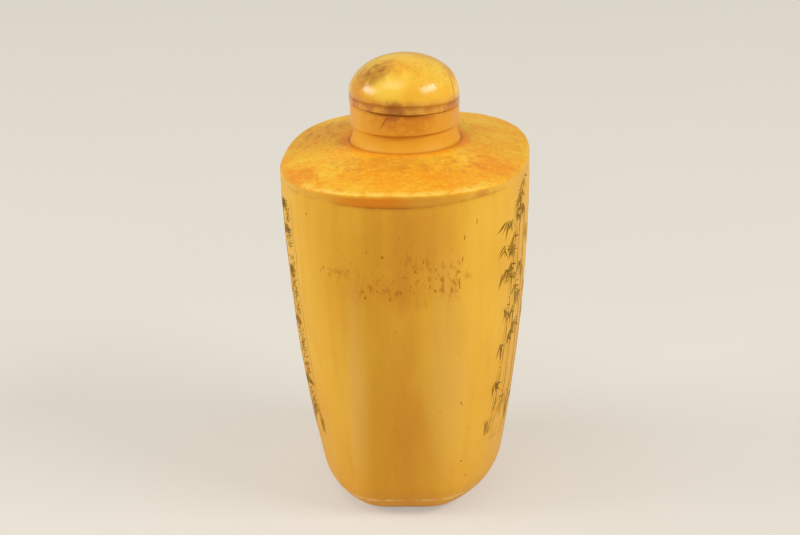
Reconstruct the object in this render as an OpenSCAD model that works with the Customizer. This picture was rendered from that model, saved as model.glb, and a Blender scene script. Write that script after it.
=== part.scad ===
// Palm-sized stoppered bottle cut from bone: a tapering tube closed by a base plate
// and a porous shoulder plate, a turned neck, and a domed stopper with cork and spoon.
// The bottle stands on z = 0 with the neck axis on z. The plain ends face -y and +y,
// and the two broad faces that carry the engraving face -x and +x.

/* [Body] */
// Width across the two engraved faces, at the rim
rim_width = 44; // [38:0.5:52]
// Depth across the two plain ends, at the rim
rim_depth = 53.6; // [46:0.2:62]
// Width at the foot, before the lower edge is rounded
foot_width = 30; // [26:0.2:36]
// Depth at the foot, before the lower edge is rounded
foot_depth = 42.4; // [36:0.2:48]
// Height of the rim edge above the table
rim_height = 62.3; // [52:0.1:74]
// Radius of the rounded lower edge
foot_radius = 6.2; // [4:0.1:8]
// Squareness of the plan outline at the rim, where 2 is an ellipse
rim_squareness = 2.5; // [2:0.1:3.2]
// Squareness of the plan outline at the foot
foot_squareness = 2.2; // [2:0.1:3.2]
// Depth planed off each plain end, which leaves it flat
end_flat = 1.5; // [0:0.1:2.5]
// Height over which the planed flats fade out below the rim
flat_fade = 26; // [10:1:40]
// Thickness of the bone wall on the two axes
wall = 7; // [5:0.1:8]
// Squareness of the bore
bore_squareness = 2.5; // [2:0.1:3.2]

/* [Base plate] */
// Thickness of the plate below the tube
base_thickness = 3.4; // [2.4:0.1:4]
// Height of the step that locates the plate in the tube
base_step = 1.6; // [1:0.1:3]

/* [Shoulder plate] */
// Thickness of the plate at its rim
shoulder_edge = 2.3; // [1.8:0.1:4]
// Height that the shoulder climbs from the rim to the neck
shoulder_rise = 2.2; // [1:0.1:4]
// Depth of the step that locates the plate in the tube
shoulder_step = 1.6; // [1:0.1:3]
// Radius of the softened rim edge
rim_edge_radius = 0.5; // [0.3:0.1:0.9]
// Depth of the recess that the neck's foot stands in
seat_depth = 0.3; // [0.2:0.05:0.6]

/* [Neck] */
// Radius of the neck at its foot
neck_foot_radius = 9.9; // [9.4:0.1:10.6]
// Radius of the neck under the stopper
neck_top_radius = 9.1; // [8.2:0.1:9.3]
// Height of the neck above the shoulder
neck_height = 3.1; // [2:0.1:6]
// Radius of the mouth
mouth_radius = 5; // [4:0.1:6]
// Radius of the spigot that is glued into the shoulder plate
spigot_radius = 7.4; // [6.8:0.1:8]

/* [Stopper] */
// Radius of the collar
collar_radius = 9.7; // [8.5:0.05:11]
// Height of the collar
collar_height = 3.9; // [2.5:0.1:6]
// Radius of the collar's softened edges
collar_edge_radius = 0.45; // [0.2:0.05:0.8]
// Radius of the dome
dome_radius = 9.85; // [8.5:0.05:11]
// Height of the dome above the collar
dome_height = 8.5; // [6:0.1:11]
// Height of the bead round the dome's lower edge
bead_height = 1.3; // [0.8:0.1:2]
// Depth of the groove above the bead
groove_depth = 0.3; // [0.1:0.05:0.6]
// Radius of the dome's tenon in the collar
tenon_radius = 3; // [2:0.1:3.6]
// Length of the cork below the collar
cork_length = 6; // [4:0.1:8]
// How much the cork narrows towards its lower end, on the radius
cork_taper = 0.35; // [0.1:0.05:0.6]

/* [Spoon] */
// Radius of the spoon's stem
stem_radius = 0.8; // [0.6:0.05:1]
// Gap between the spoon's tip and the floor of the bottle
tip_gap = 4; // [2:0.5:10]
// Width of the spoon's bowl
bowl_width = 4.4; // [3:0.1:6]
// Length of the spoon's bowl
bowl_length = 10; // [8:0.5:14]
// Thickness of the bowl
bowl_thickness = 0.8; // [0.6:0.05:1.2]
// Radius of the hollow of the bowl
bowl_hollow_radius = 12; // [9:0.5:16]

/* [Fits] */
// Gap round a glued step, spigot or tenon
glue_gap = 0.1; // [0.05:0.01:0.2]
// Gap round the cork in the mouth
cork_gap = 0.05; // [0.03:0.01:0.1]
// Gap round the foot of the neck in its recess
seat_gap = 0.2; // [0.1:0.05:0.6]

/* [Hidden] */

$fn = 96;
around = 72;
bone = [0.87, 0.68, 0.26];
stained_bone = [0.91, 0.62, 0.20];
polished_bone = [0.95, 0.76, 0.30];
cork_brown = [0.68, 0.48, 0.29];

tube_bottom = base_thickness;
tube_top = rim_height - shoulder_edge;
floor_height = base_thickness + base_step;
seat_height = rim_height + shoulder_rise;
neck_foot = seat_height - seat_depth;
neck_top = seat_height + neck_height;
dome_bottom = neck_top + collar_height;
cork_bottom = neck_top - cork_length;
seat_radius = neck_foot_radius + seat_gap;
plate_bottom = tube_top - shoulder_step;
tip_height = floor_height + tip_gap;
seat_lip = 0.4;
stem_seat_depth = 1;
stem_hole_radius = stem_radius + glue_gap;

// Half of a plan size at height z: a parabola from the foot to the rim
function half_size(rim, foot, z) = rim / 2 - (rim - foot) / 2 * pow(1 - z / rim_height, 2);

// How far the rounded lower edge has drawn in at height z
function drawn_in(z) =
    z < foot_radius ? foot_radius - sqrt(pow(foot_radius, 2) - pow(foot_radius - z, 2)) : 0;

// Signed power, for the superellipse outline
function spow(base, exponent) = sign(base) * pow(abs(base), exponent);

// Closed superellipse of half sizes w and d at height z
function outline(w, d, z, power) =
    [for (i = [0 : around - 1]) let (t = 360 * i / around)
        [w * spow(cos(t), 2 / power), d * spow(sin(t), 2 / power), z]];

// Squareness of the outside at height z
function squareness(z) = foot_squareness + (rim_squareness - foot_squareness) * pow(z / rim_height, 2);

// Depth planed off each plain end at height z: full low down, none at the rim
function planed(z) =
    let (t = max(0, min(1, (rim_height - z) / flat_fade))) end_flat * t * t * (3 - 2 * t);

// A ring cut flat on both plain ends at half depth d
function cut_flat(ring, d) = [for (p = ring) [p[0], max(-d, min(d, p[1])), p[2]]];

// Outside of the bottle at height z, drawn in by a margin
function outside(z, margin = 0) =
    let (w = half_size(rim_width, foot_width, z) - drawn_in(z) - margin,
         d = half_size(rim_depth, foot_depth, z) - drawn_in(z) - margin)
    cut_flat(outline(w, d + planed(z), z, squareness(z)), d);

// Inside of the tube at height z, drawn in by a margin
function inside(z, margin = 0) =
    outline(half_size(rim_width, foot_width, z) - wall - margin,
            half_size(rim_depth, foot_depth, z) - wall - margin, z, bore_squareness);

// Heights from low to high in equal steps
function heights(low, high, steps) = [for (i = [0 : steps]) low + (high - low) * i / steps];

// Turn of the rounded lower edge's arc at height z
function edge_turn(z) = acos(1 - min(z, foot_radius) / foot_radius);

// Heights on the rounded lower edge from low to high, at equal turns of its arc
function edge_heights(low, high, steps) =
    [for (turn = heights(edge_turn(low), edge_turn(high), steps)) foot_radius * (1 - cos(turn))];

// The same outline lifted or lowered to height z
function moved_to(ring, z) = [for (p = ring) [p[0], p[1], z]];

function joined(lists) = [for (list = lists) each list];

// Solid skin over a stack of rings, closed by flat ends, or into a tube when looped
module skin(rings, looped = false) {
    count = len(rings);
    bands = looped ? count : count - 1;
    sides = [for (r = [0 : bands - 1], i = [0 : around - 1])
        let (j = (i + 1) % around, low = r * around, high = ((r + 1) % count) * around)
        each [[low + i, high + j, low + j], [low + i, high + i, high + j]]];
    ends = looped ? [] : [[for (i = [0 : around - 1]) i],
                          [for (i = [around - 1 : -1 : 0]) (count - 1) * around + i]];
    polyhedron(points = joined(rings), faces = concat(sides, ends));
}

// Tapering tube of bone, open at both ends
module body_tube() {
    edge_steps = 4;
    side_steps = 14;
    bore_steps = 10;
    edge = [for (z = edge_heights(tube_bottom, foot_radius, edge_steps)) if (z < foot_radius) z];
    side = heights(max(foot_radius, tube_bottom), tube_top, side_steps);
    color(bone)
        skin(concat([for (z = edge) outside(z)], [for (z = side) outside(z)],
                    [for (z = heights(tube_top, tube_bottom, bore_steps)) inside(z)]), looped = true);
}

// Plate under the tube, with the rounded lower edge and a step inside the tube
module base_plate() {
    edge_steps = 6;
    step = inside(tube_bottom, glue_gap);
    color(bone)
        skin(concat([for (z = edge_heights(0, base_thickness, edge_steps)) outside(z)],
                    foot_radius < base_thickness ? [outside(base_thickness)] : [],
                    [moved_to(step, base_thickness), moved_to(step, floor_height)]));
}

// Porous plate on top of the tube: rim, softened edge and shoulder up to the neck
module shoulder_plate() {
    edge_steps = 3;
    slope_steps = 6;
    rim_foot = rim_height - rim_edge_radius;
    edge = [for (turn = heights(0, 90, edge_steps))
        outside(rim_foot + rim_edge_radius * sin(turn), rim_edge_radius * (1 - cos(turn)))];
    rim = edge[edge_steps];
    seat = outline(seat_radius + seat_lip, seat_radius + seat_lip, seat_height, 2);
    slope = [for (i = [1 : slope_steps]) let (s = i / slope_steps)
        moved_to(rim + (seat - rim) * s, rim_height + shoulder_rise * sin(90 * s))];
    step = inside(plate_bottom, glue_gap);
    color(stained_bone)
        difference() {
            skin(concat([moved_to(step, plate_bottom), moved_to(step, tube_top), outside(tube_top)],
                        edge, slope));
            translate([0, 0, neck_foot]) cylinder(r = seat_radius, h = shoulder_rise);
            translate([0, 0, plate_bottom - shoulder_step])
                cylinder(r = spigot_radius + glue_gap, h = seat_height);
        }
}

// Turned neck: a flared ring that stands on the shoulder, with a spigot through the plate
module neck_ring() {
    flare_steps = 8;
    flare = [for (i = [0 : flare_steps]) let (s = i / flare_steps)
        [neck_top_radius + (neck_foot_radius - neck_top_radius) * pow(1 - s, 2),
         neck_foot + (neck_top - neck_foot) * s]];
    color(bone)
        rotate_extrude()
            polygon(concat([[mouth_radius, plate_bottom], [spigot_radius, plate_bottom],
                            [spigot_radius, neck_foot]],
                           flare, [[mouth_radius, neck_top]]));
}

// Ring between the neck and the dome, with softened edges
module stopper_collar() {
    flat = collar_radius - collar_edge_radius;
    color(bone)
        translate([0, 0, neck_top])
            difference() {
                union() {
                    cylinder(r = flat, h = collar_height);
                    translate([0, 0, collar_edge_radius])
                        cylinder(r = collar_radius, h = collar_height - 2 * collar_edge_radius);
                    for (z = [collar_edge_radius, collar_height - collar_edge_radius])
                        translate([0, 0, z])
                            rotate_extrude() translate([flat, 0]) circle(r = collar_edge_radius, $fn = 32);
                }
                translate([0, 0, -collar_height])
                    cylinder(r = tenon_radius + glue_gap, h = 3 * collar_height);
            }
}

// Polished dome with a bead round its lower edge and a tenon down into the collar
module stopper_dome() {
    bead_steps = 8;
    dome_steps = 24;
    bead_bulge = bead_height / 2;
    bead_end = 50;
    bead = [for (turn = heights(-90, bead_end, bead_steps))
        [dome_radius - bead_bulge + bead_bulge * cos(turn), bead_bulge * (1 + sin(turn))]];
    groove_edge = bead[bead_steps];
    groove = [groove_edge[0] - groove_depth, bead_height];
    arch_bottom = 2 * bead_height - groove_edge[1];
    arch = [for (turn = heights(0, 90, dome_steps))
        [dome_radius * cos(turn), arch_bottom + (dome_height - arch_bottom) * sin(turn)]];
    color(polished_bone)
        translate([0, 0, dome_bottom])
            difference() {
                rotate_extrude()
                    polygon(concat([[0, glue_gap - collar_height], [tenon_radius, glue_gap - collar_height],
                                    [tenon_radius, 0]], bead, [groove], arch));
                translate([0, 0, -collar_height])
                    cylinder(r = stem_hole_radius, h = collar_height + stem_seat_depth);
            }
}

// Cork glued under the collar, bored for the spoon's stem
module stopper_cork() {
    top_radius = mouth_radius - cork_gap;
    color(cork_brown)
        translate([0, 0, cork_bottom])
            difference() {
                cylinder(r1 = top_radius - cork_taper, r2 = top_radius, h = cork_length);
                translate([0, 0, -cork_length]) cylinder(r = stem_hole_radius, h = 3 * cork_length);
            }
}

// Spoon on the stopper: a thin stem with a shallow bowl that opens towards -y
module snuff_spoon() {
    bowl_radius = bowl_width / 2;
    bowl_centre = tip_height + bowl_radius;
    bowl_top = tip_height + bowl_length;
    hollow_centre = (tip_height + bowl_top) / 2;
    stem_top = dome_bottom + stem_seat_depth;
    color(polished_bone) {
        translate([0, 0, bowl_top - bowl_radius])
            cylinder(r = stem_radius, h = stem_top - bowl_top + bowl_radius);
        intersection() {
            translate([0, -bowl_hollow_radius, hollow_centre])
                difference() {
                    sphere(r = bowl_hollow_radius + bowl_thickness);
                    sphere(r = bowl_hollow_radius);
                }
            rotate([90, 0, 0])
                linear_extrude(height = 2 * bowl_hollow_radius, center = true)
                    union() {
                        translate([0, bowl_centre]) circle(r = bowl_radius);
                        polygon([[-bowl_radius, bowl_centre], [bowl_radius, bowl_centre],
                                 [stem_radius, bowl_top], [-stem_radius, bowl_top]]);
                    }
        }
    }
}

body_tube();
base_plate();
shoulder_plate();
neck_ring();
stopper_collar();
stopper_dome();
stopper_cork();
snuff_spoon();
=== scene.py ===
"""Looks of the bone snuff bottle: finished meshes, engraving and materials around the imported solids."""

import math
import random

import bpy
import numpy as np
from mathutils import Matrix, Vector, noise


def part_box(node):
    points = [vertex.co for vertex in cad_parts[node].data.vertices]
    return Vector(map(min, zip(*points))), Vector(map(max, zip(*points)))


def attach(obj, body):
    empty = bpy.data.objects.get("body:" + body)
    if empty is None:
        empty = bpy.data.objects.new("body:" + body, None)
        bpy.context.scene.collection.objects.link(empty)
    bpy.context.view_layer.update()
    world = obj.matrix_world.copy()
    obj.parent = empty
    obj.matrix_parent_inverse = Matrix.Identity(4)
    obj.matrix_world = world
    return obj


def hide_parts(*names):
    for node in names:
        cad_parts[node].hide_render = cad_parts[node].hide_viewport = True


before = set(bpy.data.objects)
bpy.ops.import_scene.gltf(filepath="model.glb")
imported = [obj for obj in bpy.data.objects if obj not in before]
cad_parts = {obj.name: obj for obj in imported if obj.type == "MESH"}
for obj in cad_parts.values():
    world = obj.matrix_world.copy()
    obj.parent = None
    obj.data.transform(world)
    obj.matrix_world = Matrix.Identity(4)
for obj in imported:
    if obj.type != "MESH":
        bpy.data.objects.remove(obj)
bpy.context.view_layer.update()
SCENE = bpy.context.scene

# Sizes in millimetres: places and outer sizes come from the frame
MM = 0.001


def box_mm(node):
    low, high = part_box(node)
    return np.array(low) / MM, np.array(high) / MM


TUBE_LOW, TUBE_HIGH = box_mm("body_tube")
PLATE_LOW, PLATE_HIGH = box_mm("shoulder_plate")
BASE_HIGH = box_mm("base_plate")[1]
NECK_LOW, NECK_HIGH = box_mm("neck_ring")
COLLAR_HIGH = box_mm("stopper_collar")[1]
DOME_LOW, DOME_HIGH = box_mm("stopper_dome")
CORK_LOW, CORK_HIGH = box_mm("stopper_cork")
SPOON_LOW, SPOON_HIGH = box_mm("snuff_spoon")

# Body
RIM_HALF_WIDTH, RIM_HALF_DEPTH = PLATE_HIGH[:2]
FOOT_HALF_WIDTH = 15.0
FOOT_HALF_DEPTH = 21.2
FOOT_RADIUS = 6.2
RIM_SQUARENESS = 2.5
FOOT_SQUARENESS = 2.2
END_FLAT = 1.5
END_FLAT_LEAST = 0.02
FLAT_REACH = 26.0
FLAT_BLEND = 0.8
FRONT_SKEW = 0.05
FRONT_ROUND = 0.008
WALL = 7.0
# Waves that hand work leaves, as depth, count round the outline, climb and phase
HAND_WAVES = ((0.05, 3, 9, 1.3), (0.04, 5, -6, 0.4), (0.05, 2, 14, 2.1), (0.02, 11, 4, 0))

# Seams of the base plate and the shoulder plate
SEAM_BOTTOM = TUBE_LOW[2]
SEAM_TOP = TUBE_HIGH[2]
SEAM_STEPS = np.array([0, 0.05, 0.14, 0.4])
SEAM_ZONE = 0.7
SEAM_CHAMFER = 0.025
CHAMFER_REACH = 0.12
SEAM_TIGHT = 0.15
BASE_GAPE = 0.6
GAPE_LEFT = (-7, -2)
GAPE_RIGHT = (10, 2)
SEAM_BOW = 0.7
BOW_RANGE = (2, 18)
BOW_REACH = 8.0
BASE_STEP_SPARE = 0.7
PLATE_STEP_SPARE = 0.2
GLUE_GAP = 0.1

# Shoulder and neck
SHOULDER_RISE = 2.2
SEAT_HEIGHT = PLATE_HIGH[2]
SEAT_DEPTH = 0.3
SEAT_FLOOR = SEAT_HEIGHT - SEAT_DEPTH
SEAT_EDGE = 0.25
SEAT_FILLING = 0.04
RIM_HEIGHT = SEAT_HEIGHT - SHOULDER_RISE
RIM_EDGE_ENDS = 0.28
RIM_EDGE_SIDES = 0.8
SWELL_HEIGHT = 0.05
GRAIN_HEIGHT = 0.03
PIT_DEPTH = 0.2
SPIGOT_RADIUS = 7.4
MOUTH_RADIUS = 5.0
MOUTH_EDGE = 0.2
NECK_FOOT_RADIUS = NECK_HIGH[0]
NECK_TOP_RADIUS = 9.1
NECK_TOP = NECK_HIGH[2]
NECK_EDGE = 0.15
SEAT_RADIUS = NECK_FOOT_RADIUS + SEAT_FILLING

# Stopper
COLLAR_RADIUS = COLLAR_HIGH[0]
COLLAR_EDGE = 0.22
COLLAR_LAND = 0.4
DOME_RADIUS = DOME_HIGH[0]
DOME_BOTTOM = COLLAR_HIGH[2]
DOME_TOP = DOME_HIGH[2]
BEAD_HEIGHT = 1.4
BEAD_TOP = DOME_BOTTOM + BEAD_HEIGHT
BEAD_LEAN = 0.06
GROOVE_DEPTH = 0.08
GROOVE_HALF = 0.22
ARCH_BOTTOM = BEAD_TOP + GROOVE_HALF
LIP_DROP = 0.14
LIP_TILT = 0.42
LIP_EDGE = 0.35
LIP_FADE = 4.0
TENON_RADIUS = 3.0
CORK_TAPER = 0.35
CORK_EDGE = 0.3
CORK_PIT = 0.3
STEM_RADIUS = 0.8
BOWL_LENGTH = 10.0
BOWL_HALF_THICK = 0.38


# Surface of the bottle
def smooth(low, high, x):
    t = np.clip((x - low) / (high - low), 0, 1)
    return t * t * (3 - 2 * t)


def smooth_min(a, b, blend):
    h = np.clip(0.5 + 0.5 * (b - a) / blend, 0, 1)
    return b * (1 - h) + a * h - blend * h * (1 - h)


def tapered(z):
    """Half width and half depth of the outside at height z, before the foot is rounded."""
    taper = (1 - np.clip(z / RIM_HEIGHT, 0, 1)) ** 2
    return np.array([RIM_HALF_WIDTH - (RIM_HALF_WIDTH - FOOT_HALF_WIDTH) * taper,
                     RIM_HALF_DEPTH - (RIM_HALF_DEPTH - FOOT_HALF_DEPTH) * taper])


def half_sizes(z):
    """Half width and half depth of the outside at height z, with the rounded foot."""
    below = np.clip(FOOT_RADIUS - z, 0, FOOT_RADIUS)
    return tapered(z) - (FOOT_RADIUS - np.sqrt(FOOT_RADIUS ** 2 - below ** 2))


def squareness(z):
    rise = np.clip(z / RIM_HEIGHT, 0, 1)
    return FOOT_SQUARENESS + (RIM_SQUARENESS - FOOT_SQUARENESS) * rise ** 2


def hand_cut(t, z):
    return sum(depth * np.sin(count * t + z / climb + phase) for depth, count, climb, phase in HAND_WAVES)


def polar(radius, turn, z):
    return np.stack([radius * np.cos(turn), radius * np.sin(turn), z + 0 * turn], -1)


def superellipse(t, half_w, half_d, power, z):
    c, s = np.cos(t), np.sin(t)
    return np.stack([half_w * np.sign(c) * np.abs(c) ** (2 / power),
                     half_d * np.sign(s) * np.abs(s) ** (2 / power), z + 0 * t], -1)


def outside(t, z, margin=0):
    """Points of the outside at outline turn t and height z, with the plain ends planed flat."""
    t, z = np.broadcast_arrays(t, z)
    half_w, half_d = half_sizes(z)
    draw = hand_cut(t, z) - margin
    flat = END_FLAT_LEAST + END_FLAT * smooth(RIM_HEIGHT, RIM_HEIGHT - FLAT_REACH, z)
    points = superellipse(t, half_w + draw, half_d + draw + flat, squareness(z), z)
    x, y, _ = np.moveaxis(points, -1, 0)
    worn = (y < 0) * (FRONT_SKEW * np.minimum(x, 0) + FRONT_ROUND * np.maximum(x, 0) ** 2)
    limit = half_d + draw - worn * flat / END_FLAT
    points[..., 1] = np.sign(y) * smooth_min(np.abs(y), limit, FLAT_BLEND * flat)
    return points


def bore(turns, z, size_height, spare=0):
    """Outline at height z with the bore's size at another height, drawn in by a spare."""
    half_w, half_d = tapered(size_height) - WALL - spare
    return superellipse(turns, half_w, half_d, RIM_SQUARENESS, z)


def outline_turns(count):
    """Outline turns at equal steps along the rim."""
    fine = np.linspace(0, 2 * np.pi, 8001)
    path = outside(fine, RIM_HEIGHT)
    length = np.concatenate([[0], np.cumsum(np.linalg.norm(np.diff(path, axis=0), axis=1))])
    return np.interp(np.arange(count) / count * length[-1], length, fine)


# Meshes
def add_object(name, data):
    obj = bpy.data.objects.new(name, data)
    SCENE.collection.objects.link(obj)
    return obj


def make_mesh(name, points, faces, sharp=35):
    mesh = bpy.data.meshes.new(name)
    mesh.from_pydata([tuple(p) for p in np.asarray(points, float) * MM], [], faces)
    mesh.validate()
    mesh.update()
    mesh.shade_smooth()
    mesh.set_sharp_from_angle(angle=math.radians(sharp))
    return add_object(name, mesh)


def skin(name, rings, looped=True, sharp=35):
    """Closed mesh over rings of equal count, looped into a tube or closed by fans at both ends."""
    rings = np.asarray(rings, float)
    count, around = rings.shape[:2]
    faces = []
    for r in range(count if looped else count - 1):
        low, high = r * around, (r + 1) % count * around
        for i in range(around):
            j = (i + 1) % around
            faces.append((low + i, low + j, high + j, high + i))
    points = rings.reshape(-1, 3)
    if not looped:
        ends = len(points)
        points = np.vstack([points, rings[0].mean(0), rings[-1].mean(0)])
        last = (count - 1) * around
        for i in range(around):
            j = (i + 1) % around
            faces.append((ends, j, i))
            faces.append((ends + 1, last + i, last + j))
    return make_mesh(name, points, faces, sharp)


def revolve(name, profile, looped, around=224, wobble=0, lift=None):
    """Turned piece from (radius, height) points that run up the outside."""
    turn = np.linspace(0, 2 * np.pi, around, endpoint=False)
    rings = []
    for radius, height in profile:
        r = radius + wobble * (np.sin(2 * turn + 0.6) + 0.5 * np.sin(5 * turn + height))
        rings.append(polar(r, turn, height + lift(turn, height) if lift else height))
    return skin(name, rings, looped)


def arc(centre_r, centre_z, radius, start, end, steps):
    """Profile points on an arc, with its turn in degrees."""
    turns = np.radians(np.linspace(start, end, steps))
    return [(centre_r + radius * math.cos(t), centre_z + radius * math.sin(t)) for t in turns]


def line(start, end, steps):
    start, end = np.array(start), np.array(end)
    return [tuple(start + (end - start) * i / steps) for i in range(1, steps + 1)]


# Pieces of the bottle
def seam_rise(t):
    """The glued seam under the shoulder climbs from the ends to the broad faces."""
    return SEAM_BOW * smooth(*BOW_RANGE, np.abs(outside(t, SEAM_TOP)[..., 0]))


def seam_margin(distance, gape):
    """How far a glued edge is drawn in at a distance from its seam."""
    return SEAM_CHAMFER * gape * (1 - smooth(0, CHAMFER_REACH, distance))


def seam_gape(t):
    """The shoulder's seam stands open a little in the middle of the front, and is tight elsewhere."""
    x, y, _ = np.moveaxis(outside(t, SEAM_TOP), -1, 0)
    front = smooth(*GAPE_LEFT, x) * smooth(*GAPE_RIGHT, x) * (y < 0)
    return SEAM_TIGHT + (1 - SEAM_TIGHT) * front


def build_tube(turns):
    middle = np.linspace(SEAM_BOTTOM + SEAM_ZONE, SEAM_TOP - SEAM_ZONE, 160)
    heights = np.concatenate([SEAM_BOTTOM + SEAM_STEPS, middle, SEAM_TOP - SEAM_STEPS[::-1]])
    rings = []
    for z in heights:
        rise = seam_rise(turns) * smooth(SEAM_TOP - BOW_REACH, SEAM_TOP, z)
        margin = seam_margin(z - SEAM_BOTTOM, BASE_GAPE) + seam_margin(SEAM_TOP - z, seam_gape(turns))
        rings.append(outside(turns, z + rise, margin))
    rings += [bore(turns, z, z) for z in np.linspace(SEAM_TOP, SEAM_BOTTOM, 14)]
    return skin("bone_tube", rings)


def build_base(turns):
    steps = np.linspace(0, math.acos(1 - SEAM_BOTTOM / FOOT_RADIUS), 26)[:-1]
    heights = np.append(FOOT_RADIUS * (1 - np.cos(steps)), SEAM_BOTTOM - SEAM_STEPS[:3])
    rings = [outside(turns, z, seam_margin(SEAM_BOTTOM - z, BASE_GAPE)) for z in np.sort(heights)]
    rings += [bore(turns, z, FOOT_RADIUS, BASE_STEP_SPARE) for z in (SEAM_BOTTOM, BASE_HIGH[2])]
    return skin("base_plate_bone", rings, looped=False)


def pitting(p):
    """Height of the open-grained bone at a point: shallow swells and small sharp pits."""
    swell = SWELL_HEIGHT * noise.noise(Vector(p) * 0.3)
    grain = GRAIN_HEIGHT * noise.noise(Vector(p) * 1.4)
    cell = noise.noise(Vector(p) * 2.1 + Vector((7, 3, 1)))
    return swell + grain - PIT_DEPTH * max(0, cell - 0.3)


def build_shoulder(turns):
    """Porous plate: rim band, an edge that is softer at the sides, pitted slope, recess and hole."""
    rings = [bore(turns, z, RIM_HEIGHT, PLATE_STEP_SPARE) for z in (PLATE_LOW[2], SEAM_TOP)]
    seam = SEAM_TOP + seam_rise(turns)
    rings += [outside(turns, seam + step, seam_margin(step, seam_gape(turns))) for step in SEAM_STEPS[:3]]
    edge = RIM_EDGE_ENDS + RIM_EDGE_SIDES * np.abs(np.cos(turns)) ** 3
    for a in np.linspace(0, math.pi / 2, 12):
        rings.append(outside(turns, RIM_HEIGHT - edge * (1 - math.sin(a)), edge * (1 - math.cos(a))))
    rim = rings[-1]
    around = np.arctan2(rim[:, 1], rim[:, 0])
    seat = polar(SEAT_RADIUS + SEAT_EDGE, around, SEAT_HEIGHT)
    for s in np.linspace(0, 1, 90)[1:]:
        ring = rim + (seat - rim) * s
        ring[:, 2] = RIM_HEIGHT + SHOULDER_RISE * np.sin(s * math.pi / 2)
        fade = smooth(0, 0.04, s) * smooth(1, 0.97, s)
        ring[:, 2] += [fade * pitting(p) for p in ring]
        rings.append(ring)
    hole = SPIGOT_RADIUS + GLUE_GAP
    recess = ((SEAT_RADIUS, SEAT_HEIGHT - 0.05), (SEAT_RADIUS - 0.02, SEAT_FLOOR),
              (hole, SEAT_FLOOR), (hole, PLATE_LOW[2]))
    rings += [polar(radius, around, z) for radius, z in recess]
    return skin("porous_shoulder", rings)


def build_neck():
    flare = [(NECK_TOP_RADIUS + (NECK_FOOT_RADIUS - NECK_TOP_RADIUS) * (1 - s) ** 2,
              SEAT_HEIGHT + (NECK_TOP - NECK_EDGE - SEAT_HEIGHT) * s) for s in np.linspace(0, 1, 28)]
    profile = [(SPIGOT_RADIUS, NECK_LOW[2]), (SPIGOT_RADIUS, SEAT_FLOOR), (NECK_FOOT_RADIUS, SEAT_FLOOR)]
    profile += flare
    profile += arc(NECK_TOP_RADIUS - NECK_EDGE, NECK_TOP - NECK_EDGE, NECK_EDGE, 15, 90, 5)
    profile += arc(MOUTH_RADIUS + MOUTH_EDGE, NECK_TOP - MOUTH_EDGE, MOUTH_EDGE, 90, 180, 6)
    profile += line((MOUTH_RADIUS, NECK_TOP - MOUTH_EDGE), (MOUTH_RADIUS, NECK_LOW[2]), 8)
    return revolve("turned_neck", profile, looped=True, wobble=0.015)


def lip_lift(turn):
    """The hand-cut lip under the dome is askew: high at -x and low at +x."""
    return -LIP_DROP - LIP_TILT * np.cos(turn)


def collar_lift(turn, height):
    return lip_lift(turn) * smooth(NECK_TOP + 1, DOME_BOTTOM - COLLAR_EDGE, height)


def dome_lift(turn, height):
    return lip_lift(turn) * smooth(BEAD_TOP + LIP_FADE, BEAD_TOP, height) * (height > DOME_BOTTOM - 0.01)


def build_collar():
    low, high, r, e = NECK_TOP, DOME_BOTTOM, COLLAR_RADIUS, COLLAR_EDGE
    hole = TENON_RADIUS + GLUE_GAP
    profile = [(hole, low), (r - e - COLLAR_LAND, low)]
    profile += arc(r - e / 2, low + e / 2, e / 2, -90, 0, 8)
    profile += line((r, low + e / 2), (r, high - e), 14)
    profile += arc(r - e, high - e, e, 0, 90, 8)
    profile += [(r - e - COLLAR_LAND, high), (hole, high)]
    return revolve("stopper_ring", profile, looped=True, wobble=0.02, lift=collar_lift)


def build_dome():
    bead_side = DOME_RADIUS - BEAD_LEAN
    arch = [(DOME_RADIUS * math.cos(t), ARCH_BOTTOM + (DOME_TOP - ARCH_BOTTOM) * math.sin(t))
            for t in np.linspace(0.04, math.pi / 2 - 0.012, 60)]
    profile = [(0.3, DOME_LOW[2]), (TENON_RADIUS, DOME_LOW[2]), (TENON_RADIUS, DOME_BOTTOM)]
    profile += arc(DOME_RADIUS - LIP_EDGE, DOME_BOTTOM + LIP_EDGE, LIP_EDGE, -90, 0, 10)
    profile += line((DOME_RADIUS, DOME_BOTTOM + LIP_EDGE), (bead_side, BEAD_TOP - GROOVE_HALF), 8)
    profile += [(bead_side - GROOVE_DEPTH, BEAD_TOP), (bead_side, ARCH_BOTTOM - 0.02)] + arch
    return revolve("polished_dome", profile, looped=False, wobble=0.025, lift=dome_lift)


def build_cork():
    low, top = CORK_LOW[2], CORK_HIGH[2]
    wide, narrow = CORK_HIGH[0], CORK_HIGH[0] - CORK_TAPER
    hole = STEM_RADIUS + GLUE_GAP
    profile = [(hole, low), (narrow - 0.5, low)]
    profile += arc(narrow - CORK_EDGE, low + CORK_EDGE, CORK_EDGE, -60, 0, 5)
    profile += line((narrow, low + CORK_EDGE), (wide, top), 40)
    profile += [(hole, top)]
    cork = revolve("cork_plug", profile, looped=True, around=160)
    for v in cork.data.vertices:
        p = v.co / MM
        radius = math.hypot(p.x, p.y)
        if radius > 2 and low + 0.05 < p.z < top - 0.3:
            pit = CORK_PIT * max(0, noise.noise(Vector((p.x * 1.1, p.y * 1.1, p.z * 0.7))) - 0.25)
            v.co.xy *= 1 - (pit + 0.02) / radius
    return cork


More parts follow.
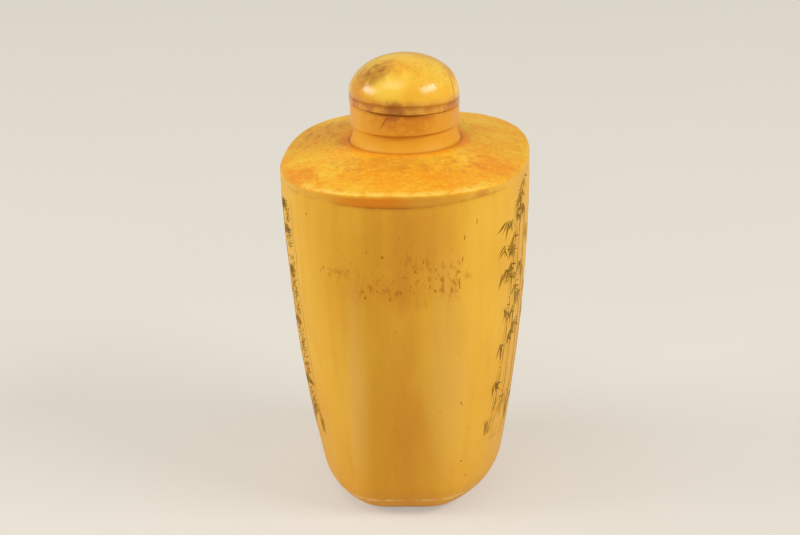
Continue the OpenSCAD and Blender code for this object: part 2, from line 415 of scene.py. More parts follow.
def build_spoon():
    """Thin stem that flattens into a shallow bowl, lofted from the tip up."""
    tip, top = SPOON_LOW[2], SPOON_HIGH[2]
    half_bowl = SPOON_HIGH[0]
    turn = np.linspace(0, 2 * np.pi, 28, endpoint=False)
    bowl_heights = tip + BOWL_LENGTH * (1 - np.cos(np.linspace(0.1, math.pi / 2, 30)))
    rings = []
    for z in np.append(bowl_heights, np.linspace(tip + BOWL_LENGTH + 1, top, 30)):
        s = (z - tip) / BOWL_LENGTH
        bowl = 1 - smooth(0.45, 1, s)
        tip_round = math.sqrt(1 - max(0, 1 - s / 0.3) ** 2)
        width = (STEM_RADIUS + (half_bowl - STEM_RADIUS) * bowl) * tip_round
        thick = (STEM_RADIUS - (STEM_RADIUS - BOWL_HALF_THICK) * bowl) * min(1, 0.4 + 3 * s)
        x = width * np.cos(turn)
        dish = bowl * (0.35 - 0.55 * (x / half_bowl) ** 2 - 0.35 * max(0, 0.5 - s))
        rings.append(np.stack([x, thick * np.sin(turn) + dish, z + 0 * x], -1))
    return skin("bone_spoon", rings, looped=False, sharp=60)


# Engraved strokes: closed slivers let into a surface and standing proud of it by a hair
STROKE_PROUD = 0.016
STROKE_SUNK = 0.03
SURFACE_STEP = 0.05
INK_FINE = 0.1
INK_LINE = 0.14
INK_BOLD = 0.2


class Strokes:
    """Collects slivers that follow a surface, given by a function of two flat coordinates."""

    def __init__(self, place):
        self.place = place
        self.points = []
        self.faces = []

    def add(self, path, width, taper=0.35):
        """One stroke along a path of flat coordinates, thinner towards its ends."""
        u, v = np.asarray(path, float).T
        here = self.place(u, v)
        normal = np.cross(self.place(u + SURFACE_STEP, v) - here, self.place(u, v + SURFACE_STEP) - here)
        normal /= np.linalg.norm(normal, axis=1)[:, None]
        normal *= np.sign((normal * here * (1, 1, 0)).sum(1))[:, None]
        side = np.cross(normal, np.gradient(here, axis=0))
        side /= np.maximum(np.linalg.norm(side, axis=1), 1e-9)[:, None]
        along = np.clip(np.linspace(0, 1, len(u)), 0.02, 0.98)
        swell = taper + (1 - taper) * np.sin(np.pi * along) ** 0.6
        reach = 0.5 * np.asarray(width) * swell * (STROKE_PROUD + STROKE_SUNK) / STROKE_PROUD
        start = len(self.points)
        for p, n, q, r in zip(here, normal, side, reach):
            foot = p - n * STROKE_SUNK
            self.points += [foot - q * r, foot + q * r, p + n * STROKE_PROUD]
        last = len(self.points) - 3
        for low in range(start, last, 3):
            for a, b in ((0, 1), (1, 2), (2, 0)):
                self.faces.append((low + a, low + 3 + a, low + 3 + b, low + b))
        self.faces.append((start, start + 1, start + 2))
        self.faces.append((last + 2, last + 1, last))

    def draw(self, points, width=INK_FINE, steps=4, taper=0.35):
        """One smooth stroke through given points."""
        self.add(curve(points, steps), width, taper)

    def build(self, name):
        return make_mesh(name, self.points, self.faces, sharp=180)


FACE_UNIT = 25.0
FACE_LIMIT = 0.98


def outline_share(s, unit, z):
    """Cosine or sine of the outline turn at a share of the half size."""
    u = np.clip(s / unit, -FACE_LIMIT, FACE_LIMIT)
    return np.sign(u) * np.abs(u) ** (squareness(z) / 2)


def face_place(sign):
    """Broad face: s runs to the right as seen from outside and is 25 at the end, z is the height."""
    def place(s, z):
        turn = np.arcsin(outline_share(s, FACE_UNIT, z))
        return outside(turn if sign > 0 else turn + np.pi, z)
    return place


def end_place(sign):
    """Plain end: s runs along x, z is the height."""
    def place(s, z):
        return outside(sign * np.arccos(outline_share(s, half_sizes(z)[0], z)), z)
    return place


def dome_place(turn, z):
    """Dome: the turn in degrees from +x, z is the height."""
    rise = (z - ARCH_BOTTOM) / (DOME_TOP - ARCH_BOTTOM)
    radius = DOME_RADIUS * np.sqrt(np.clip(1 - rise ** 2, 0, 1))
    t = np.radians(turn)
    return polar(radius, t, z + dome_lift(t, z))


def collar_place(turn, z):
    return polar(COLLAR_RADIUS, np.radians(turn), z)


def curve(points, steps=8):
    """Smooth path through given points."""
    points = np.asarray(points, float)
    padded = np.vstack([2 * points[0] - points[1], points, 2 * points[-1] - points[-2]])
    path = []
    for k in range(1, len(padded) - 2):
        a, b, c, d = padded[k - 1:k + 3]
        for t in np.arange(steps) / steps:
            path.append(0.5 * (2 * b + (c - a) * t + (2 * a - 5 * b + 4 * c - d) * t ** 2
                               + (3 * b - a - 3 * c + d) * t ** 3))
    return np.array(path + [points[-1]])


# Motifs of the engraving
LEAF_WIDTH = 0.16


def leaf(ink, s, z, turn, length):
    """Pointed leaf: one stroke that swells and bends a little."""
    t = np.linspace(0, 1, 8)
    bend = 0.12 * length * np.sin(np.pi * t / 2) ** 2
    c, d = math.cos(turn), math.sin(turn)
    droop = 0.05 * length * t ** 2
    path = np.stack([s + length * t * c - bend * d, z + length * t * d + bend * c - droop], -1)
    ink.add(path, LEAF_WIDTH * length * np.sin(np.pi * (0.08 + 0.9 * t ** 0.8)), taper=0.25)


def leaf_spray(ink, rng, s, z, count, size):
    for _ in range(count):
        turn = math.radians(rng.uniform(200, 340))
        length = size * rng.uniform(0.7, 1.25)
        leaf(ink, s + rng.uniform(-0.6, 0.6), z + rng.uniform(-0.5, 0.5), turn, length)


def bamboo(ink, rng, foot, top, half, joints):
    """One culm: outlines broken at the joints, shading lines, twigs and leaves."""
    t = np.linspace(0, 1, joints + 1)[:, None]
    spots = np.array(foot) + (np.array(top) - np.array(foot)) * t + np.sin(np.pi * t) * (0.6, 0)
    gap = 0.3
    for k in range(joints):
        a, b = spots[k], spots[k + 1]
        for share, width in ((-1, INK_LINE), (1, INK_LINE), (0.45, INK_FINE), (0.75, INK_FINE)):
            side = share * half
            middle = (a + b) / 2 + (0.88 * side, 0)
            ink.draw([a + (side, gap), middle, b + (side, -gap)], width, 5)
        ink.draw([b + (-1.3 * half, 0.1), b + (0, -0.1), b + (1.3 * half, 0.1)], INK_LINE)
        if k > 1:
            way = rng.choice((-1, 1))
            twig = curve([b, b + (way * 1.5, 1.1), b + (way * 2.6, 1.4)], 5)
            ink.add(twig, INK_FINE)
            leaf_spray(ink, rng, *twig[-1], rng.randint(5, 7), 2.4)
            leaf_spray(ink, rng, *twig[5], rng.randint(3, 4), 2.1)


def rock(ink, rng, z, s, wide, tall, lines):
    """Rock: a broken outline, an inner ridge and slanting shade lines."""
    t = np.linspace(0, np.pi, 13)
    rough = np.array([1 + rng.uniform(-0.12, 0.12) for _ in t])
    outline = np.stack([s - wide / 2 * np.cos(t) * rough, z + tall * np.sin(t) ** 0.8 * rough], -1)
    ink.draw(outline, INK_BOLD, 3, taper=0.6)
    ink.draw(outline[3:10] * (0.8, 0.75) + (0.2 * s + 0.3, 0.25 * z))
    for k in range(lines):
        across = outline[1][0] + (outline[-2][0] - outline[1][0]) * (k + 0.5) / lines
        level = z + tall * math.sin(math.pi * (k + 0.8) / (lines + 0.6)) ** 0.8 - 0.3
        drop = min(tall * rng.uniform(0.25, 0.55), level - z)
        ink.draw([(across, level), (across + 0.2, level - drop / 2), (across + 0.1, level - drop)])


def grass(ink, rng, s, z, count, tall):
    for _ in range(count):
        lean = rng.uniform(-0.7, 0.7)
        high = tall * rng.uniform(0.6, 1.1)
        root = s + rng.uniform(-0.8, 0.8)
        blade = [(root, z), (root + 0.3 * lean, z + 0.6 * high), (root + 1.4 * lean, z + high)]
        ink.draw(blade, INK_LINE)


def hill(ink, rng, points, hatch, width, depth):
    """Ridge line with shade strokes that fall from it to the right."""
    ridge = curve(points)
    ridge[:, 1] += [0.2 * noise.noise(Vector((p[0] * 0.9, p[1] * 0.4, 3))) for p in ridge]
    ink.add(ridge, width, taper=0.6)
    for k in range(hatch):
        p = ridge[int((k + 0.5) / hatch * (len(ridge) - 1))] + (0.1, -0.3)
        drop = depth * rng.uniform(0.35, 1)
        ink.draw([p, p + (0.35, -drop / 2), p + (0.5, -drop)])


def cliff(ink, rng, s_low, s_edge, z_low, z_high, count):
    """Rock face: a ragged right edge and clumps of shade strokes that slant down from it."""
    def edge(z):
        return s_edge + 0.7 * noise.noise(Vector((0, z * 0.3, 9)))

    ink.add([(edge(z), z) for z in np.linspace(z_low, z_high, 70)], INK_LINE, taper=0.6)
    for _ in range(count):
        z = rng.uniform(z_low, z_high)
        if noise.noise(Vector((4, z * 0.4, 2))) < -0.25:
            continue
        start = np.array((edge(z) - rng.uniform(0.1, 0.6) * (s_edge - s_low), z))
        reach, drop = rng.uniform(0.5, 1.8), rng.uniform(0.5, 1.6)
        ink.draw([start, start - (0.6 * reach, 0.4 * drop), start - (reach, drop)], INK_LINE)


def moon(ink, s, z, radius):
    t = np.linspace(0.2, 2 * np.pi + 0.1, 48)
    ink.add(np.stack([s + radius * np.cos(t), z + radius * np.sin(t)], -1), INK_LINE, taper=0.8)


def cloud(ink, s, z, length):
    wave = ((-0.5, 0), (-0.2, 0.3), (0.2, -0.1), (0.5, 0.2))
    ink.draw([(s + share * length, z + rise) for share, rise in wave], steps=6)


def ripples(ink, rng, s_range, z_range, count):
    for _ in range(count):
        s, z = rng.uniform(*s_range), rng.uniform(*z_range)
        length = rng.uniform(1.5, 4.5)
        ink.draw([(s, z), (s + length / 2, z + 0.18), (s + length, z - 0.05)])


def bird(ink, s, z, span):
    for way in (-1, 1):
        wing = [(s + way * span, z + 0.4 * span), (s + 0.4 * way * span, z + 0.5 * span), (s, z)]
        ink.draw(wing, INK_LINE)


def needles(ink, rng, s, z, count, size):
    """Fan of pine needles."""
    lean = rng.uniform(-0.3, 0.3)
    for k in range(count):
        turn = math.pi / 2 + lean + (k / (count - 1) - 0.5) * 2.6
        tip = np.array((s + size * math.cos(turn), z + 0.75 * size * math.sin(turn)))
        ink.draw([(s, z), (tip + (s, z)) / 2 + (0, 0.06), tip], steps=3, taper=0.3)


def pine(ink, rng, trunk, boughs):
    """Old pine: a bent trunk with bark strokes, boughs and fans of needles."""
    spine = curve(trunk, 10)
    for side in (-1, 1):
        half = np.linspace(0.9, 0.2, len(spine)) * side
        half += [0.12 * noise.noise(Vector((side * 5, p[1] * 0.8, 1))) for p in spine]
        ink.add(np.stack([spine[:, 0] + half, spine[:, 1]], -1), INK_BOLD, taper=0.5)
    for _ in range(70):
        p = spine[rng.randrange(2, len(spine) - 3)]
        s = p[0] + rng.uniform(-0.6, 0.6)
        ink.draw([(s - 0.2, p[1]), (s + 0.1, p[1] + 0.35), (s + 0.3, p[1])], steps=3)
    for start, end in boughs:
        path = curve([start, ((start[0] + end[0]) / 2, (start[1] + end[1]) / 2 + 0.5), end])
        ink.add(path, INK_BOLD, taper=0.4)
        for p in path[3::2]:
            spot = (p[0] + rng.uniform(-0.4, 0.4), p[1] + rng.uniform(0, 0.6))
            needles(ink, rng, *spot, 11, rng.uniform(1, 1.7))


def ground(ink, rng, z, s_low, s_high, rows):
    for k in range(rows):
        s = s_low
        while s < s_high:
            length = rng.uniform(2, 5.5)
            level = z - 0.7 * k + rng.uniform(-0.15, 0.15)
            middle = (s + length / 2, level + rng.uniform(-0.1, 0.2))
            ink.draw([(s, level), middle, (s + length, level)])
            s += length + rng.uniform(0.3, 1.6)


# Bamboo culms as foot, top, half width and joints
CULMS = (
    ((-14.8, 18), (-12, 57), 0.5, 9),
    ((-12.2, 16), (-10.4, 58.5), 0.65, 8),
    ((-8.2, 16.5), (-6.8, 54), 0.5, 7),
    ((-4.2, 18.4), (-4.8, 42), 0.35, 5),
    ((3.6, 16.2), (4, 46), 0.45, 6),
    ((8.8, 18.5), (11.4, 57.5), 0.7, 8),
    ((12.8, 15.6), (12.4, 49), 0.5, 7),
)
LEAF_PLACES = (
    (-14.8, 24), (-14.4, 31), (-13.8, 38), (-13.2, 46), (-12.4, 51), (-11.6, 55), (-10.4, 57.5),
    (13.6, 43), (13.8, 30), (12.4, 54),
)
CLOUDS = ((-0.6, 47.4, 7), (1.4, 46.4, 6), (3.2, 52.4, 6.5))
# Rocks as place, width, height and shade lines
BAMBOO_ROCKS = ((-11.6, 8.4, 6.2, 22), (-4.8, 6.4, 4.4, 16), (2, 5, 2.8, 12), (9.6, 8, 5.6, 20))
BANK_ROCKS = ((6, 6, 4.8, 16), (14, 5, 6, 16), (-10.6, 7, 3.6, 16), (-3.4, 5, 2.4, 10))
BAMBOO_GRASS = (-16, -8, -1.6, 5.4, 13.8)
BANK_GRASS = (2.6, 10.2, 15.8, -14.6, -6.8)
FAR_RIDGE = ((-16, 41), (-12, 46.5), (-8, 43.5), (-3, 50.5), (2, 44.5), (8, 46))
NEAR_RIDGE = ((-16.2, 35.5), (-11, 39.5), (-6, 36.5), (-1, 40), (5, 36))
LOW_RIDGE = ((-7, 33.2), (-2, 34.8), (4, 33))
PINE_TRUNK = ((9.4, 16), (11.2, 24), (9.6, 32), (11.4, 41), (9.8, 50), (10.6, 57.5))
PINE_BOUGHS = (
    ((10.8, 27), (4.4, 28.6)), ((10, 33), (14.2, 34.6)), ((10.8, 38), (5, 40.2)),
    ((11.2, 42), (14, 44.6)), ((10.6, 46), (5.8, 48.6)), ((9.8, 50), (13.6, 51.6)),
    ((10.2, 54), (7.2, 56.6)), ((11, 22), (14.8, 23.2)), ((10.2, 54), (12.8, 56.4)),
)
BIRDS = ((-7.5, 54.6, 1.2), (-4.6, 55.8, 0.9), (-10.4, 56.2, 0.8), (-0.8, 54.2, 0.8))


def bamboo_side():
    """Broad face at +x: bamboo over rocks, with a moon between thin clouds."""
    rng = random.Random(11)
    ink = Strokes(face_place(1))
    for culm in CULMS:
        bamboo(ink, rng, *culm)
    for s, z in LEAF_PLACES:
        leaf_spray(ink, rng, s, z, 7, 2.4)
    moon(ink, 1.2, 49.5, 3)
    for place in CLOUDS:
        cloud(ink, *place)
    for stone in BAMBOO_ROCKS:
        rock(ink, rng, 14.4, *stone)
    for s in BAMBOO_GRASS:
        grass(ink, rng, s, 14.2, 9, 3.2)
    ground(ink, rng, 13.9, -15, 12, 3)
    return ink.build("engraved_bamboo")


def landscape_side():
    """Broad face at -x: hills beyond water, an old pine before a cliff, and birds."""
    rng = random.Random(23)
    ink = Strokes(face_place(-1))
    hill(ink, rng, FAR_RIDGE, 44, INK_BOLD, 5.5)
    hill(ink, rng, NEAR_RIDGE, 30, INK_LINE, 3.2)
    hill(ink, rng, LOW_RIDGE, 12, INK_FINE, 1.4)
    ripples(ink, rng, (-15, 5), (23, 32), 46)
    pine(ink, rng, PINE_TRUNK, PINE_BOUGHS)
    cliff(ink, rng, 11, 16, 17, 58, 380)
    for stone in BANK_ROCKS:
        rock(ink, rng, 14.6, *stone)
    for s in BANK_GRASS:
        grass(ink, rng, s, 14.6, 9, 3)
    ground(ink, rng, 14.2, -14, 15, 3)
    for place in BIRDS:
        bird(ink, *place)
    return ink.build("engraved_landscape")


# Pores and cracks: short dark slivers in the bone
PORE_LENGTH = 0.8
PORE_WIDTH = 1.3
# Plain pores of the front end as place, length and width
FRONT_PORES = (
    (-1.9, 51.3, 0.8, 0.36), (-5, 43.9, 0.9, 0.28), (-0.8, 43.6, 1, 0.3), (11.1, 46, 2.6, 0.24),
    (12.1, 54, 1.1, 0.22), (11.7, 50.2, 1.2, 0.2), (-9.6, 48.2, 0.7, 0.24), (-12.3, 48.5, 0.7, 0.24),
    (3.7, 48.6, 0.7, 0.28), (1.9, 47.6, 0.5, 0.3), (6.1, 45.8, 1.1, 0.2), (8.4, 45, 1.2, 0.18),
    (9.7, 45, 1.2, 0.18), (7, 45, 0.9, 0.22), (4, 46.9, 0.8, 0.2), (5.1, 50.4, 0.8, 0.24),
    (-2.9, 45, 0.8, 0.28), (1.1, 44.7, 0.9, 0.26), (-5.4, 45, 0.6, 0.2), (-15.2, 57.4, 0.4, 0.3),
    (14.2, 56.4, 1.2, 0.16), (10.8, 22.9, 1, 0.16), (11, 7.6, 0.6, 0.24), (10.4, 11, 0.4, 0.28),
)
# Zones of faint random pores as count, range along x and range of heights
FRONT_ZONES = (
    (18, (2, 11.5), (44.5, 48.5)), (16, (-10.5, 1.5), (44.5, 48)),
    (14, (-13, 12), (48, 55)), (10, (-10, 12), (8, 40)),
)
BACK_ZONES = (
    (30, (-10, 2), (36, 48)), (20, (2, 11), (14, 30)), (12, (-12, 12), (8, 56)),
)
# Cracks as width and as places, each the turn in degrees from +x and the height
DOME_CRACKS = (
    (0.1, ((2, 78.2), (-4, 77.4), (-8, 76.9))),
    (0.13, ((-11, 76.6), (-17, 75.8), (-20, 74.6), (-22, 73.8))),
)
COLLAR_CRACKS = (
    (0.13, ((-95, 71), (-101, 70.9), (-105, 70.5), (-108, 69.6), (-112, 68.6), (-113, 68.1))),
)


def pore(cuts, s, z, length, width, lean):
    half = np.array((lean, length)) / 2
    cuts.add([(s, z) - half, (s, z), (s, z) + half], width, taper=0.3)


def end_pores(name, sign, seed, pores, zones):
    """Pores of one plain end: the given ones, then faint random ones inside the zones."""
    rng = random.Random(seed)
    cuts = Strokes(end_place(sign))
    for s, z, length, width in pores:
        pore(cuts, s, z, PORE_LENGTH * length, PORE_WIDTH * width, rng.uniform(-0.2, 0.25))
    for count, s_range, z_range in zones:
        for _ in range(count):
            s, z = rng.uniform(*s_range), rng.uniform(*z_range)
            pore(cuts, s, z, rng.uniform(0.2, 0.55), rng.uniform(0.07, 0.2), rng.uniform(-0.25, 0.3))
    return cuts.build(name)


def cracks(name, place, lines):
    cuts = Strokes(place)
    for width, points in lines:
        cuts.draw(points, width, 5)
    return cuts.build(name)


# Colours, written as screen values
def srgb(red, green, blue):
    def linear(v):
        v /= 255
        return v / 12.92 if v <= 0.04045 else ((v + 0.055) / 1.055) ** 2.4
    return (linear(red), linear(green), linear(blue), 1)


HONEY = srgb(229, 166, 46)
HONEY_DARK = srgb(207, 134, 36)
HONEY_PALE = srgb(239, 188, 64)
HONEY_OLIVE = srgb(211, 151, 36)
# Painted sheen for the ridges of the front end.
RIDGE_SHEEN = srgb(235, 184, 96)
ORANGE = srgb(251, 178, 30)
ORANGE_DEEP = srgb(240, 138, 18)
ORANGE_PALE = srgb(253, 203, 52)
# Painted highlight and wear on the rim's edge.
EDGE_HIGHLIGHT_AND_WEAR = srgb(254, 212, 96)
RIM_ORANGE = srgb(224, 124, 8)
NECK = srgb(230, 163, 44)
NECK_PALE = srgb(241, 180, 52)
COLLAR = srgb(223, 154, 44)
COLLAR_PALE = srgb(236, 177, 56)
COLLAR_DARK = srgb(228, 138, 32)
COLLAR_STAIN = srgb(208, 114, 12)
YELLOW = srgb(244, 184, 48)
YELLOW_PALE = srgb(250, 206, 72)
DOME_ORANGE = srgb(230, 144, 30)
SPOON = srgb(240, 190, 84)
STAIN_BROWN = srgb(140, 74, 26)
STAIN_PINK = srgb(202, 118, 44)
STAIN_PURPLE = srgb(156, 78, 44)
LIP_BROWN = srgb(188, 104, 20)
# Dirt in seams and painted shade in creases and under the lip.
CREVICE_DARK_SHADE_AND_DIRT = srgb(114, 58, 10)
CREVICE_SHADE_AND_DIRT = srgb(188, 102, 14)
CHALK = srgb(240, 214, 150)
INK = srgb(122, 88, 22)
INK_FADED = srgb(162, 120, 34)
PORE = srgb(174, 104, 14)
PORE_PINK = srgb(184, 108, 24)
PORE_RUST = srgb(160, 62, 10)
CORK_LIGHT = srgb(198, 150, 98)
CORK_MID = srgb(168, 116, 70)
CORK_DARK = srgb(110, 66, 34)
WHITE_SHEEN = (1, 1, 1, 1)
WARM_SHEEN = (1, 0.95, 0.55, 1)


# Materials
class Look:
    """One procedural material, laid layer over layer in millimetres of the part's frame."""

    def __init__(self, name, colour, specular=0.5, sheen=WHITE_SHEEN):
        self.material = bpy.data.materials.new(name)
        self.material.use_nodes = True
        self.tree = self.material.node_tree
        self.shader = self.tree.nodes["Principled BSDF"]
        self.feed(self.shader, {"Specular IOR Level": specular, "Specular Tint": sheen})
        self.position = self.vector("MULTIPLY", self.node("TexCoord")["Object"], (1 / MM,) * 3)
        self.x, _, self.z = self.node("SeparateXYZ", {0: self.position})
        self.colour = colour

    def feed(self, node, values):
        """Links or sets inputs of a node, named or numbered."""
        for key, value in values.items():
            if isinstance(value, bpy.types.NodeSocket):
                self.tree.links.new(value, node.inputs[key])
            else:
                node.inputs[key].default_value = value

    def node(self, kind, values=None, **settings):
        """Outputs of a new node with its settings and inputs."""
        node = self.tree.nodes.new("ShaderNode" + kind)
        for name, setting in settings.items():
            setattr(node, name, setting)
        self.feed(node, values or {})
        return node.outputs

    def vector(self, operation, a, b):
        return self.node("VectorMath", {0: a, 1: b}, operation=operation)["Vector"]

    def length(self, vector):
        return self.node("VectorMath", {0: vector}, operation="LENGTH")["Value"]

    def math(self, operation, a, b=0):
        return self.node("Math", {0: a, 1: b}, operation=operation)[0]

    def stretched(self, stretch):
        return self.vector("MULTIPLY", self.position, stretch) if stretch else self.position

    def noise(self, scale, detail=3, roughness=0.55, stretch=None):
        values = {"Scale": scale, "Detail": detail, "Roughness": roughness}
        return self.node("TexNoise", {"Vector": self.stretched(stretch), **values})[0]

    def cells(self, scale, stretch=None):
        return self.node("TexVoronoi", {"Vector": self.stretched(stretch), "Scale": scale})["Distance"]

    def ramp(self, value, low, high, out_low=0, out_high=1):
        limits = {"From Min": low, "From Max": high, "To Min": out_low, "To Max": out_high}
        return self.node("MapRange", {"Value": value, **limits}, interpolation_type="SMOOTHSTEP")[0]

    def warp(self, scale, amount, detail=4):
        return self.ramp(self.noise(scale, detail), 0.3, 0.7, -amount, amount)

    def spot(self, centre, radii, strength, soft=0.6, warp=None):
        """Factor that is high round a place and fades out at the radii, with an uneven edge."""
        away = self.vector("SUBTRACT", self.position, centre)
        distance = self.length(self.vector("MULTIPLY", away, tuple(1 / r for r in radii)))
        if warp is not None:
            distance = self.math("ADD", distance, warp)
        return self.ramp(distance, 1 - soft, 1 + soft, strength, 0)

    def band(self, value, middle, half, strength):
        """Factor that is high close to one value."""
        away = self.math("ABSOLUTE", self.math("SUBTRACT", value, middle))
        return self.ramp(away, half * 0.3, half, strength, 0)

    def lay(self, factor, tint, within=None):
        """Lays a tint over the colour by a factor, which a second factor may hold back."""
        if within is not None:
            factor = self.math("MULTIPLY", factor, within)
        self.colour = self.node("Mix", {0: factor, 6: self.colour, 7: tint}, data_type="RGBA")[2]

    def patches(self, patches, warp=None):
        for centre, radii, strength, soft, tint in patches:
            self.lay(self.spot(centre, radii, strength, soft, warp), tint)

    def finish(self, roughness, relief=None, strength=0.1, distance=0.0001):
        self.feed(self.shader, {"Base Color": self.colour, "Roughness": roughness})
        if relief is not None:
            bump = self.node("Bump", {"Strength": strength, "Distance": distance, "Height": relief})
            self.feed(self.shader, {"Normal": bump["Normal"]})
        return self.material

    def glow(self, colour, share):
        """Shows a share of the surface as an even tone to the camera and in reflections."""
        path = self.node("LightPath")
        seen = self.math("MAXIMUM", path["Is Camera Ray"], path["Is Glossy Ray"])
        seen = self.math("MAXIMUM", seen, path["Is Transmission Ray"])
        tone = self.node("Emission", {"Color": colour})[0]
        seen_share = self.math("MULTIPLY", seen, share)
        blend = self.node("MixShader", {0: seen_share, 1: self.shader.outputs[0], 2: tone})[0]
        self.feed(self.tree.nodes["Material Output"], {"Surface": blend})


LENGTHWISE = (1, 1, 0.06)
STREAKED = (1, 1, 0.2)


def bone_grain(look, pale, dark):
    """Compact bone: broad clouds, faint lengthwise streaks and fine grain."""
    streaks = look.noise(0.5, 4, stretch=LENGTHWISE)
    grain = look.noise(3, stretch=LENGTHWISE)
    look.lay(look.ramp(look.noise(0.06, 2), 0.3, 0.7, 0.2, 0.8), pale)
    look.lay(look.ramp(streaks, 0.48, 0.75, 0, 0.22), dark)
    look.lay(look.ramp(streaks, 0.44, 0.25, 0, 0.25), pale)
    look.lay(look.ramp(grain, 0.5, 0.75, 0, 0.14), dark)


def dark_line(look, level, middle, dirt_and_shade, soft, hard):
    """Dirt in the shoulder's seam and painted shade under the lip, along one level: a brown edge and a
    dark core, each as half width and strength.
    """
    look.lay(look.band(level, middle, *soft), CREVICE_SHADE_AND_DIRT, within=dirt_and_shade)
    look.lay(look.band(level, middle, *hard), CREVICE_DARK_SHADE_AND_DIRT, within=dirt_and_shade)


def seam_dirt(look):
    """Dirt in the shoulder's seam: dark at the front, faint and broken elsewhere."""
    bow = look.ramp(look.math("ABSOLUTE", look.x), *BOW_RANGE, 0, SEAM_BOW)
    level = look.math("SUBTRACT", look.z, bow)
    front = look.spot((0.4, -26.4, 60.2), (6, 6, 3), 0.55, 0.8, look.warp(0.5, 0.4))
    faint = look.ramp(look.noise(0.16), 0.45, 0.62, 0, 0.25)
    dark_line(look, level, SEAM_TOP, look.math("MAXIMUM", front, faint), (0.75, 0.5), (0.26, 0.75))


def lip_level(look):
    """Height measured from the tilted lip."""
    tilt = look.math("MULTIPLY", look.x, LIP_TILT / DOME_RADIUS)
    return look.math("ADD", look.z, tilt)


def lip_shade(look, strength, least):
    """Painted shade under the lip: strongest at the front, and a little all round."""
    return look.math("ADD", look.spot((-0.6, -9.8, 71.5), (5.6, 4, 3), strength), least)


# Zones of open pores in the front end as centre, radii and strength
PORE_ZONES = (
    ((7.6, -25, 47), (4.6, 5, 3.6), 0.6),
    ((-2, -26, 44.8), (5, 5, 1.5), 0.45),
    ((-10, -24, 48.4), (3.4, 5, 1.6), 0.4),
    ((4, -26, 51), (4, 5, 2.6), 0.25),
)
# Stains, and patches of painted sheen and reflection, as centre, radii, strength, softness and colour
BODY_STAINS_AND_SHEEN = (
    # Painted sheen: pale patches on the two lit front corners.
    ((-17, -18, 48), (7, 9, 16), 0.4, 0.8, HONEY_PALE),
    ((15, -20, 36), (7, 8, 24), 0.25, 0.8, HONEY_PALE),
    ((2.5, -26, 55), (7, 6, 9), 0.65, 0.9, HONEY_DARK),
    ((-6, -25, 50), (6, 6, 9), 0.5, 0.9, HONEY_OLIVE),
    ((-1, -26, 45), (8, 6, 2.5), 0.3, 0.8, HONEY_DARK),
    ((0.4, -24, 20), (4.8, 6, 24), 0.7, 0.9, HONEY_DARK),
    ((-4.2, -24, 24), (2.6, 6, 22), 0.5, 0.9, HONEY_OLIVE),
    # Painted sheen: pale streaks down the two ridges beside the flat front.
    ((-7.2, -22.5, 28), (1.8, 5, 17), 0.5, 0.8, RIDGE_SHEEN),
    ((8.8, -23, 30), (3, 5, 17), 0.4, 0.8, RIDGE_SHEEN),
)
SLOPE_STAINS = (
    ((17, -12.6, 63), (4.5, 4.5, 3), 0.7, 0.7, ORANGE_DEEP),
    ((-17.8, -17.2, 62.4), (4, 3.8, 2.5), 0.75, 0.6, ORANGE_DEEP),
    ((1, -20, 63), (10, 5, 2.5), 0.6, 0.8, ORANGE_DEEP),
    ((0, -13.5, 64.4), (9, 4, 2), 0.5, 0.8, STAIN_PINK),
    ((-10.9, -2.4, 64.4), (1.6, 2, 2), 0.45, 0.7, STAIN_BROWN),
)
RIM_STAINS = (
    ((2, -26.7, 61), (12, 6, 3), 0.6, 0.6, HONEY_DARK),
    ((-3.4, -26.7, 61), (6, 4, 2), 0.8, 0.6, RIM_ORANGE),
    ((15.2, -22.2, 61.2), (1.3, 2, 0.8), 0.6, 0.6, STAIN_PINK),
)
COLLAR_STAINS = (
    ((2.6, -9.3, 69.8), (3.4, 2, 1.6), 0.5, 0.7, COLLAR_STAIN),
    ((-2, -9.4, 70.4), (2.6, 2, 1), 0.5, 0.7, STAIN_PINK),
    ((4.4, -8.6, 71), (2.5, 2, 0.7), 0.5, 0.7, STAIN_PINK),
    ((-1.4, -9.6, 70.8), (1.6, 1.5, 0.4), 0.5, 0.6, STAIN_PURPLE),
)
DOME_STAINS_AND_REFLECTION = (
    ((-1.6, -4.6, 79.2), (3.4, 2.6, 1.6), 0.5, 0.8, DOME_ORANGE),
    ((-8, -4.4, 75), (2.4, 3.4, 3.2), 0.5, 0.8, STAIN_PINK),
    ((-4.8, -5, 77.4), (2.7, 2.5, 1.9), 0.48, 0.9, STAIN_BROWN),
    ((-4.4, -5.6, 77.3), (1.6, 1.6, 1.2), 0.34, 0.9, STAIN_BROWN),
    ((-3.2, -4.2, 78.8), (1.8, 1.8, 1.1), 0.3, 0.9, STAIN_BROWN),
    ((-0.2, -9.7, 72.5), (2.8, 1.9, 0.9), 0.45, 0.9, STAIN_BROWN),
    ((-1.2, -9.5, 73.2), (1.1, 1.6, 1), 0.3, 0.9, STAIN_BROWN),
    ((7.6, 0.6, 77), (1.8, 2.2, 1.4), 0.4, 0.8, STAIN_PINK),
    # Painted reflection of a lamp: the pale patch on the dome's front.
    ((-1.4, -8.4, 76.2), (2.4, 2.4, 1.3), 0.5, 0.8, YELLOW_PALE),
)
LIP_SMEAR = ((-0.7, -9.9, 72.1), (1.2, 2, 1.2), 0.45, 0.7, STAIN_BROWN)


def open_pores(look):
    """Soft brown pores, crowded in a few zones and missing elsewhere."""
    zone = 0.0
    ragged = look.warp(0.4, 0.4)
    for centre, radii, strength in PORE_ZONES:
        zone = look.math("MAXIMUM", look.spot(centre, radii, strength, 0.5, ragged), zone)
    pores = look.noise(1.1, 2, stretch=(1, 0.3, 0.6))
    look.lay(look.ramp(pores, 0.48, 0.72), PORE_RUST, within=zone)


